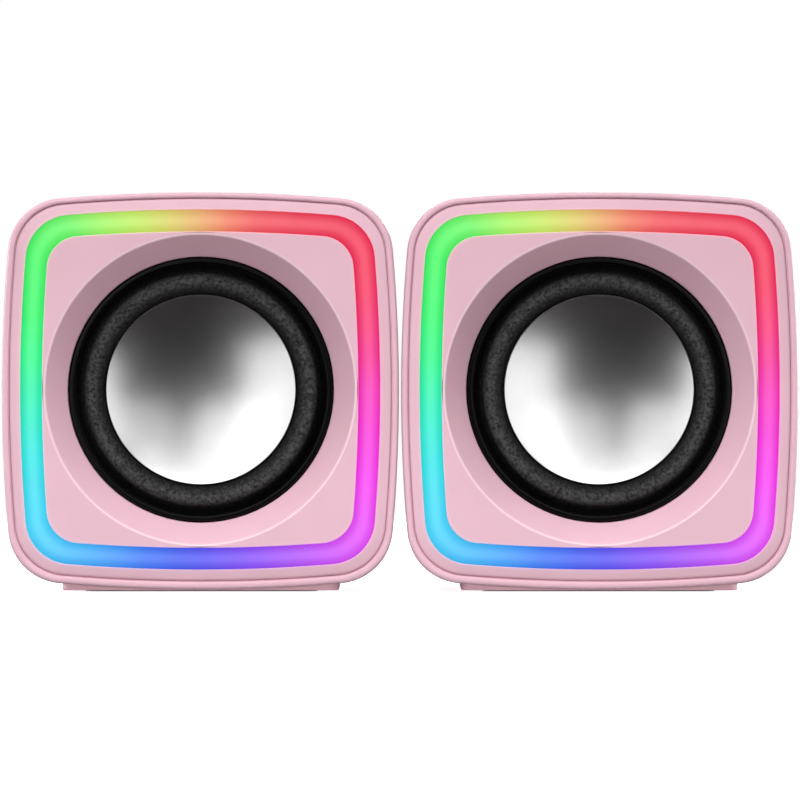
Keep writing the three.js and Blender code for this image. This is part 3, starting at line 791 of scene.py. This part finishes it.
def make_surround(place):
    """The half roll: its outer flank is steep, and its long inner slope meets the dish."""
    steps = 20
    skin = 0.5
    height = ROLL_CREST - ROLL_FOOT
    outer_edge = 24.6
    inner_edge = 18.2
    glue_face = -7.1

    def arch(width, rise, first, last):
        turns = [first + (last - first) * i / steps for i in range(steps + 1)]
        return [
            (ROLL_RADIUS + width * math.cos(t) + ROLL_SKEW * max(0, math.sin(t)) ** 2,
             ROLL_FOOT + rise * math.sin(t))
            for t in turns
        ]

    outer, inner = ROLL_HALF_WIDTH, ROLL_HALF_WIDTH - skin
    flank = [(ROLL_RADIUS + outer, z) for z in (-7.8, -7.5, -7.2, -6.9)]
    inner_flank = [(ROLL_RADIUS + inner, z) for z in (-6.9, -7.3, -7.7, -8.0)]
    profile = [
        (outer_edge, BOSS_BACK), (outer_edge, BOSS_BACK + skin), *flank,
        *arch(outer, height, 0, math.pi), (inner_edge, glue_face + 0.24),
        (inner_edge, glue_face), (inner_edge + 1.1, glue_face),
        *arch(inner, height - skin, math.pi, 0), *inner_flank, (ROLL_RADIUS + inner, BOSS_BACK),
    ]
    piece = add_piece(
        f"{place.side}_half_roll", new_mesh("half_roll", turned(profile)), place, "roll_rubber",
        place.body, [f"{place.side}_surround"], ride=False,
    )
    piece.modifiers.clear()  # it keeps plain normals
    start = place.world(0, 0, BOSS_BACK + 0.05)
    end = place.world(0, 0, ROLL_FOOT)
    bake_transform(piece)


def dish(shift, radius, steps=28):
    """Points of the dish's spherical surface, from near the axis to the edge."""
    sphere = (CONE_RADIUS**2 + CONE_DEPTH**2) / (2 * CONE_DEPTH)
    points = []
    for i in range(1, steps + 1):
        r = radius * i / steps
        rise = sphere - math.sqrt(sphere**2 - r**2)
        points.append((r, CONE_EDGE - CONE_DEPTH + rise + shift))
    return points


def make_cone(place):
    thickness = 0.6
    edge = CONE_RADIUS + 0.12
    back = dish(-thickness, CONE_RADIUS)
    front = dish(0.0, CONE_RADIUS - 0.35)
    lip = [(edge, CONE_EDGE - 0.45), (edge, CONE_EDGE - 0.12), (edge - 0.14, CONE_EDGE)]
    shape = turned([*back, *lip, *reversed(front)], closed=False)
    add_piece(
        f"{place.side}_dish", new_mesh("dish", shape), place, "silver_cone", place.cone_body,
        [f"{place.side}_cone"],
    )


# ------------------------------------------------------------------ rear and underside
def middle_of(node):
    low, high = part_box(node)
    return (low + high) / 2


def corners(offset):
    return [(offset, offset), (-offset, offset), (-offset, -offset), (offset, -offset)]


def hole(radius, centre, steps=48, flare=0.25, depth=6.0):
    """A round cutter for the rear cover's outer face, flared where it meets that face."""
    overshoot = 1
    profile = [
        (radius, COVER_FACE + depth), (radius, COVER_FACE + flare), (radius + flare, COVER_FACE),
        (radius + flare, COVER_FACE - overshoot),
    ]
    return turned(profile, centre, steps, closed=False)


def make_rear_cover(place, controls):
    profile = rounded([
        (COVER_EDGE, COVER_INSIDE), (COVER_EDGE, COVER_FACE, 0.9), (COVER_EDGE + 2, COVER_FACE),
    ], closed=False)
    shape = loft([body_ring(place, inset, z) for inset, z in profile], closed=False)
    cutters = []
    for centre in corners(SCREW_OFFSET):
        cutters.append(hole(SCREW_HEAD_HOLE, centre, depth=1.7))
        cutters.append(hole(SCREW_HOLE, centre, depth=4))
    outlet = place.drawn(middle_of(f"{place.side}_cable_grommet"))
    cutters.append(hole(OUTLET_HOLE, (outlet.x, outlet.y)))
    if controls:
        knob = place.drawn(middle_of("volume_knob"))
        button = place.drawn(middle_of("light_button"))
        cutters.append(hole(KNOB_DISH, (knob.x, knob.y), steps=96, depth=0.6))
        cutters.append(hole(SHAFT_HOLE, (knob.x, knob.y)))
        cutters.append(hole(BUTTON_HOLE, (button.x, button.y)))
    add_piece(
        f"{place.side}_back", carved("rear_cover", shape, cutters), place, "cabinet_plastic",
        place.body, [f"{place.side}_rear_cover"],
    )


def make_screws(place):
    head, shank = 2.3, 1.1
    seat = COVER_FACE + 1.4
    top = seat - 1.1
    tip = seat + 11
    slot_length, slot_width, slot_depth = 2.5, 0.55, 0.8
    profile = rounded([
        (NEAR_AXIS, tip), (shank - 0.1, tip - 1.5), (shank, tip - 2), (shank, seat),
        (head, seat, 0.1), (head, top, 0.55), (NEAR_AXIS, top),
    ], closed=False)
    for number, centre in enumerate(corners(SCREW_OFFSET), 1):
        cross = [
            bar(
                slot_length, slot_width, 2 * slot_depth, *centre, top,
                math.radians(20 * number + turn),
            )
            for turn in (0, 90)
        ]
        shape = turned(profile, centre, 40, closed=False)
        name = f"{place.side}_rear_screw_{number}"
        add_piece(
            f"{name}_head", carved("screw", shape, cross), place, "screw_steel", place.body,
            [name],
        )


def make_grommet(place):
    """A bush with a flange on either side of the rear cover."""
    node = f"{place.side}_cable_grommet"
    centre = place.drawn(middle_of(node))
    bore, neck, flange = 3.3, 3.9, 5.4
    gap = 0.3
    reach = gap + 1.3
    profile = rounded([
        (bore, COVER_FACE - reach, 0.35), (bore, COVER_INSIDE + reach, 0.3),
        (flange, COVER_INSIDE + reach, 0.4), (flange, COVER_INSIDE + gap, 0.2),
        (neck, COVER_INSIDE + gap), (neck, COVER_FACE - gap), (flange, COVER_FACE - gap, 0.2),
        (flange, COVER_FACE - reach, 0.6),
    ])
    shape = turned(profile, (centre.x, centre.y), 64)
    add_piece(
        f"{place.side}_outlet_bush", new_mesh("grommet", shape), place, "black_rubber",
        place.body, [node],
    )


def plate_rings(half_width, half_length, radius, middle, rows):
    """Flat rounded rectangles stacked along Y; each row is (inset, y)."""
    return [
        rectangle_ring(
            half_width - inset, half_length - inset, max(0.2, radius - inset), (0, middle), y,
        )
        for inset, y in rows
    ]


def make_foot(place):
    """The flat foot with a rim round its rubber pad, and the pad with its square grooves."""
    low, high = (place.drawn(p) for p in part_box(f"{place.side}_foot"))
    pad_low, pad_high = (place.drawn(p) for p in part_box(f"{place.side}_foot_pad"))
    middle = (low.z + high.z) / 2
    half_width = (high.x - low.x) / 2
    half_length = abs(high.z - low.z) / 2
    pad_half = (pad_high.x - pad_low.x) / 2
    pad_gap = 0.3
    rim = half_width - pad_half - pad_gap
    pad_seat = low.y + 0.95
    rows = rounded([
        (0.3, high.y), (0, high.y - 0.1), (0, low.y, 0.35), (rim, low.y, 0.15),
        (rim, pad_seat, 0.1), (rim + 3, pad_seat),
    ], closed=False)
    foot_corner = 2.2
    shape = loft(
        plate_rings(half_width, half_length, foot_corner, middle, rows), closed=False,
    )
    add_piece(
        f"{place.side}_base", new_mesh("foot", shape), place, "foot_plastic", place.body,
        [f"{place.side}_foot"],
    )
    grooves = 4
    first, pitch = 2.6, 4.4
    width, slope = 1.6, 0.3
    floor = pad_low.y + 0.35
    ribs = [(0, pad_high.y), (0, pad_low.y, 0.2)]
    for i in range(grooves):
        start = first + pitch * i
        ribs += [
            (start, pad_low.y, 0.15), (start + slope, floor, 0.15),
            (start + width - slope, floor, 0.15), (start + width, pad_low.y, 0.15),
        ]
    ribs.append((19.5, pad_low.y))
    rows = rounded(ribs, closed=False, steps=3)
    pad_corner = 3
    shape = loft(plate_rings(pad_half, pad_half, pad_corner, middle, rows), closed=False)
    add_piece(
        f"{place.side}_rubber_pad", new_mesh("pad", shape), place, "black_rubber", place.body,
        [f"{place.side}_foot_pad"],
    )


def make_knob(place):
    """A fluted cap with a pointer line let into its face."""
    low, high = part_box("volume_knob")
    centre = place.drawn((low + high) / 2)
    radius = (high.x - low.x) / 2 / MM
    face = -(high.y - place.origin.y) / MM
    skirt = -(low.y - place.origin.y) / MM
    socket = 3.2
    flutes = 24
    steps = flutes * 8
    side_depth, top_depth = 0.38, 0.2

    def ring(size, z, depth):
        points = []
        for i in range(steps):
            angle = 2 * math.pi * i / steps
            wave = 0.5 + 0.5 * math.cos(flutes * angle)
            r = size - depth * wave**3
            points.append(Vector((
                centre.x + r * math.cos(angle), centre.y + r * math.sin(angle), z,
            )))
        return points

    profile = rounded([
        (socket, skirt, 0), (radius, skirt, 0.2), (radius, skirt - 0.9, 0.1),
        (radius - 0.05, skirt - 1.1, 0.1), (radius - 0.35, face, 0.9), (radius - 1.6, face),
        (radius - 2.1, face + 0.3, 0.2), (0.4, face + 0.12),
    ], closed=False)
    rings = []
    for r, z in profile:
        outside = r > radius - 1.2
        on_side = outside and face + 0.5 < z < skirt - 1.2
        near_top = outside and face + 0.05 < z <= face + 0.5
        depth = side_depth if on_side else top_depth if near_top else 0.0
        rings.append(ring(r, z, depth))
    reach = 4.0
    x = centre.x + reach * math.cos(VOLUME_START)
    y = centre.y + reach * math.sin(VOLUME_START)
    length, width, groove_depth = 4.4, 0.9, 0.4
    groove = bar(length, width, 2 * groove_depth, x, y, face, VOLUME_START)
    mesh = carved("knob", loft(rings, closed=False), [groove])
    add_piece(
        "volume_cap", mesh, place, "control_plastic", "volume_control", ["volume_knob"],
        sharp=28,
    )
    gap = 0.03
    height, middle = 0.25, face + 0.29
    pointer = bar(length - 2 * gap, width - 2 * gap, height, x, y, middle, VOLUME_START)
    add_piece("volume_pointer", new_mesh("pointer", pointer), place, "print", "volume_control")


def mark(length, width, centre, reach, angle):
    """A raised dash on the rear cover that points away from `centre`, `reach` off."""
    x = centre.x + reach * math.cos(angle)
    y = centre.y + reach * math.sin(angle)
    middle = COVER_FACE + MARK_SUNK - MARK_HEIGHT / 2
    return bar(length, width, MARK_HEIGHT, x, y, middle, angle)


def make_volume_scale(place):
    """Dashes round the knob, from its lowest setting to its highest."""
    knob = place.drawn(middle_of("volume_knob"))
    count = 11
    shortest, longest = 1.0, 2.1
    width = 0.5
    start = 11.6
    dashes = []
    for i in range(count):
        share = i / (count - 1)
        angle = VOLUME_START + VOLUME_SWEEP * share
        length = shortest + (longest - shortest) * share
        dashes.append(mark(length, width, knob, start + length / 2, angle))
    add_piece("volume_scale", new_mesh("scale", joined(*dashes)), place, "print", place.body)


def make_button(place):
    """A push button held by its flange, with a ring of short raised rays round it."""
    low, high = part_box("light_button")
    centre = place.drawn((low + high) / 2)
    face = -(high.y - place.origin.y) / MM
    stem, flange, cap = 1.5, 4.2, 3.0
    stem_end = -66.6
    flange_back, flange_front = -67.6, -68.9
    profile = rounded([
        (NEAR_AXIS, stem_end), (stem, stem_end, 0.2), (stem, flange_back),
        (flange, flange_back, 0.2), (flange, flange_front, 0.2), (cap, flange_front),
        (cap, face, 0.55), (NEAR_AXIS, face + 0.3),
    ], closed=False)
    shape = turned(profile, (centre.x, centre.y), 56, closed=False)
    add_piece(
        "light_key", new_mesh("button", shape), place, "control_plastic", "light_button",
        ["light_button"],
    )
    count = 8
    length, width, reach = 1.1, 0.4, 5.6
    rays = [
        mark(length, width, centre, reach, 2 * math.pi * (i + 0.5) / count)
        for i in range(count)
    ]
    add_piece("light_mark", new_mesh("mark", joined(*rays)), place, "print", place.body)


def make_speaker(side, controls):
    place = Place(side)
    make_cabinet(place)
    make_front_panel(place)
    make_light_ring(place)
    make_gasket(place)
    make_surround(place)
    make_cone(place)
    make_rear_cover(place, controls)
    make_screws(place)
    make_grommet(place)
    make_foot(place)
    if controls:
        make_knob(place)
        make_volume_scale(place)
        make_button(place)


def finish_carried_nodes():
    """CAD nodes that stay shown get their slot's finish."""
    for name, thing in frame["nodes"].items():
        thing.data.materials.clear()
        thing.data.materials.append(finishes[slots[name]].material)


# ------------------------------------------------------------------ stage, lights and camera
FLOOR_RADIUS = 3
FLOOR_DROP = 0.0001  # keeps the floor clear of the rubber pads that stand on it
FLOOR_FADE = (0.3, 1.1)  # the distances between which the floor fades out
# How bright the studio is, by height from 0 straight below to 1 straight above.
STUDIO_LEVELS = ((0.2, 0.06), (0.46, 0.14), (0.62, 0.5), (1, 0.75))
STUDIO_STRENGTH = 0.05
CAMERA_DISTANCE = 1.5
SENSOR_WIDTH = 36
VIEW_MARGIN = 1.003  # the view's width, in widths of the pair
CAMERA_DROP = 0.00975  # how far below the fronts' middle the camera is, in widths of the view


def make_floor():
    """A pale disc that fades out far from the object and can't be seen from below."""
    edge = [Vector(p) for p in circle(FLOOR_RADIUS, 0, steps=96)]
    mesh = new_mesh("floor", (edge, [tuple(range(len(edge)))]))
    floor = new_object("floor", mesh)
    floor.location.z = cad_box[0].z - FLOOR_DROP
    finish = Finish("floor", "#f8f7f7", Roughness=0.6, Emission_Strength=0.8)
    finish.shader.inputs["Emission Color"].default_value = (1, 1, 1, 1)
    distance = finish.vector_math("LENGTH", finish.coordinates)
    fade = finish.remap(distance, 1, 0, *FLOOR_FADE, interpolation_type="SMOOTHSTEP")
    below = finish.node("ShaderNodeNewGeometry").outputs["Backfacing"]
    finish.drive("Alpha", finish.math("SUBTRACT", fade, below, use_clamp=True))
    mesh.materials.append(finish.material)
    floor.visible_glossy = False
    floor.visible_shadow = False
    floor.visible_diffuse = False


def make_world():
    """White behind the object; for the lighting, a studio that is brighter above than below."""
    world = bpy.data.worlds.new("studio")
    bpy.context.scene.world = world
    world.use_nodes = True
    world.node_tree.nodes.clear()
    shading = Shading(world.node_tree)
    parts = shading.node("ShaderNodeSeparateXYZ")
    direction = shading.node("ShaderNodeTexCoord").outputs["Generated"]
    shading.link(direction, parts.inputs["Vector"])
    height = shading.remap(parts.outputs["Z"], 0, 1, -1, 1)
    studio = shading.node("ShaderNodeBackground")
    shading.link(shading.ramp(height, STUDIO_LEVELS), studio.inputs["Color"])
    studio.inputs["Strength"].default_value = STUDIO_STRENGTH
    backdrop = shading.node("ShaderNodeBackground")
    backdrop.inputs["Color"].default_value = (1, 1, 1, 1)
    mix = shading.node("ShaderNodeMixShader")
    shading.link(shading.node("ShaderNodeLightPath").outputs["Is Camera Ray"], mix.inputs["Fac"])
    shading.link(studio.outputs["Background"], mix.inputs[1])
    shading.link(backdrop.outputs["Background"], mix.inputs[2])
    output = shading.node("ShaderNodeOutputWorld")
    shading.link(mix.outputs["Shader"], output.inputs["Surface"])


def add_light(name, place, size, power, aim, glossy=True, diffuse=True):
    data = bpy.data.lights.new(name, "AREA")
    data.shape = "RECTANGLE"
    data.size, data.size_y = size
    data.energy = power
    lamp = bpy.data.objects.new(name, data)
    bpy.context.scene.collection.objects.link(lamp)
    lamp.visible_glossy = glossy
    lamp.visible_diffuse = diffuse
    lamp.visible_camera = False
    lamp.location = place
    lamp.rotation_mode = "QUATERNION"
    lamp.rotation_quaternion = (aim - Vector(place)).to_track_quat("-Z", "Y")


def make_lights():
    """A small tent of soft boxes close to the fronts, with larger lights further off."""
    front = Vector((0, cad_box[0].y, (cad_box[0].z + cad_box[1].z) / 2))
    add_light("box_left", (-0.10, -0.22, 0.14), (0.16, 0.16), 0.07, front)
    add_light("box_right", (0.10, -0.22, 0.14), (0.16, 0.16), 0.045, front)
    add_light("side_left", (-0.114, -0.11, 0.055), (0.09, 0.14), 0.046, front, diffuse=False)
    add_light("side_right", (0.114, -0.11, 0.055), (0.09, 0.14), 0.046, front, diffuse=False)
    add_light("top", (0, -0.2, 0.3), (0.4, 0.22), 0.17, front)
    add_light("upper", (0, -0.75, 0.35), (0.6, 0.25), 0.085, front)
    add_light("high_key", (-0.24, -1.2, 1.06), (0.8, 0.6), 13, front, glossy=False)
    add_light("sky", (0, -0.16, 1.8), (2.4, 2.0), 24, front)
    add_light("bounce", (0, -0.15, 0.005), (0.3, 0.03), 0.058, front, glossy=False)
    add_light("foot_fill", (0, -0.12, -0.02), (0.34, 0.03), 0.058, front, glossy=False)
    add_light("under", (0, 0, -0.3), (0.5, 0.08), 0.35, Vector((0, 0, 0)), glossy=False)
    add_light("rear", (0.25, 0.95, 0.16), (0.8, 0.26), 8, front)
    add_light("flank_left", (-0.8, 0.2, 0.14), (0.5, 0.22), 4.5, front)
    add_light("flank_right", (0.8, 0.2, 0.14), (0.5, 0.22), 4.5, front)


def make_camera():
    """Straight in front of the pair, a long way off, a little below the middle of the fronts."""
    low, high = cad_box
    middle = (low + high) / 2
    seen_width = (high.x - low.x) * VIEW_MARGIN
    data = bpy.data.cameras.new("camera")
    data.sensor_width = SENSOR_WIDTH
    data.lens = SENSOR_WIDTH * CAMERA_DISTANCE / seen_width
    camera = bpy.data.objects.new("camera", data)
    bpy.context.scene.collection.objects.link(camera)
    height = middle.z - seen_width * CAMERA_DROP
    camera.location = (middle.x, low.y - CAMERA_DISTANCE, height)
    camera.rotation_euler = (math.pi / 2, 0, 0)
    bpy.context.scene.camera = camera
    bpy.context.scene.view_settings.view_transform = "Standard"


make_camera()
make_floor()
make_world()
make_lights()
make_speaker("left", controls=False)
make_speaker("right", controls=True)
finish_carried_nodes()
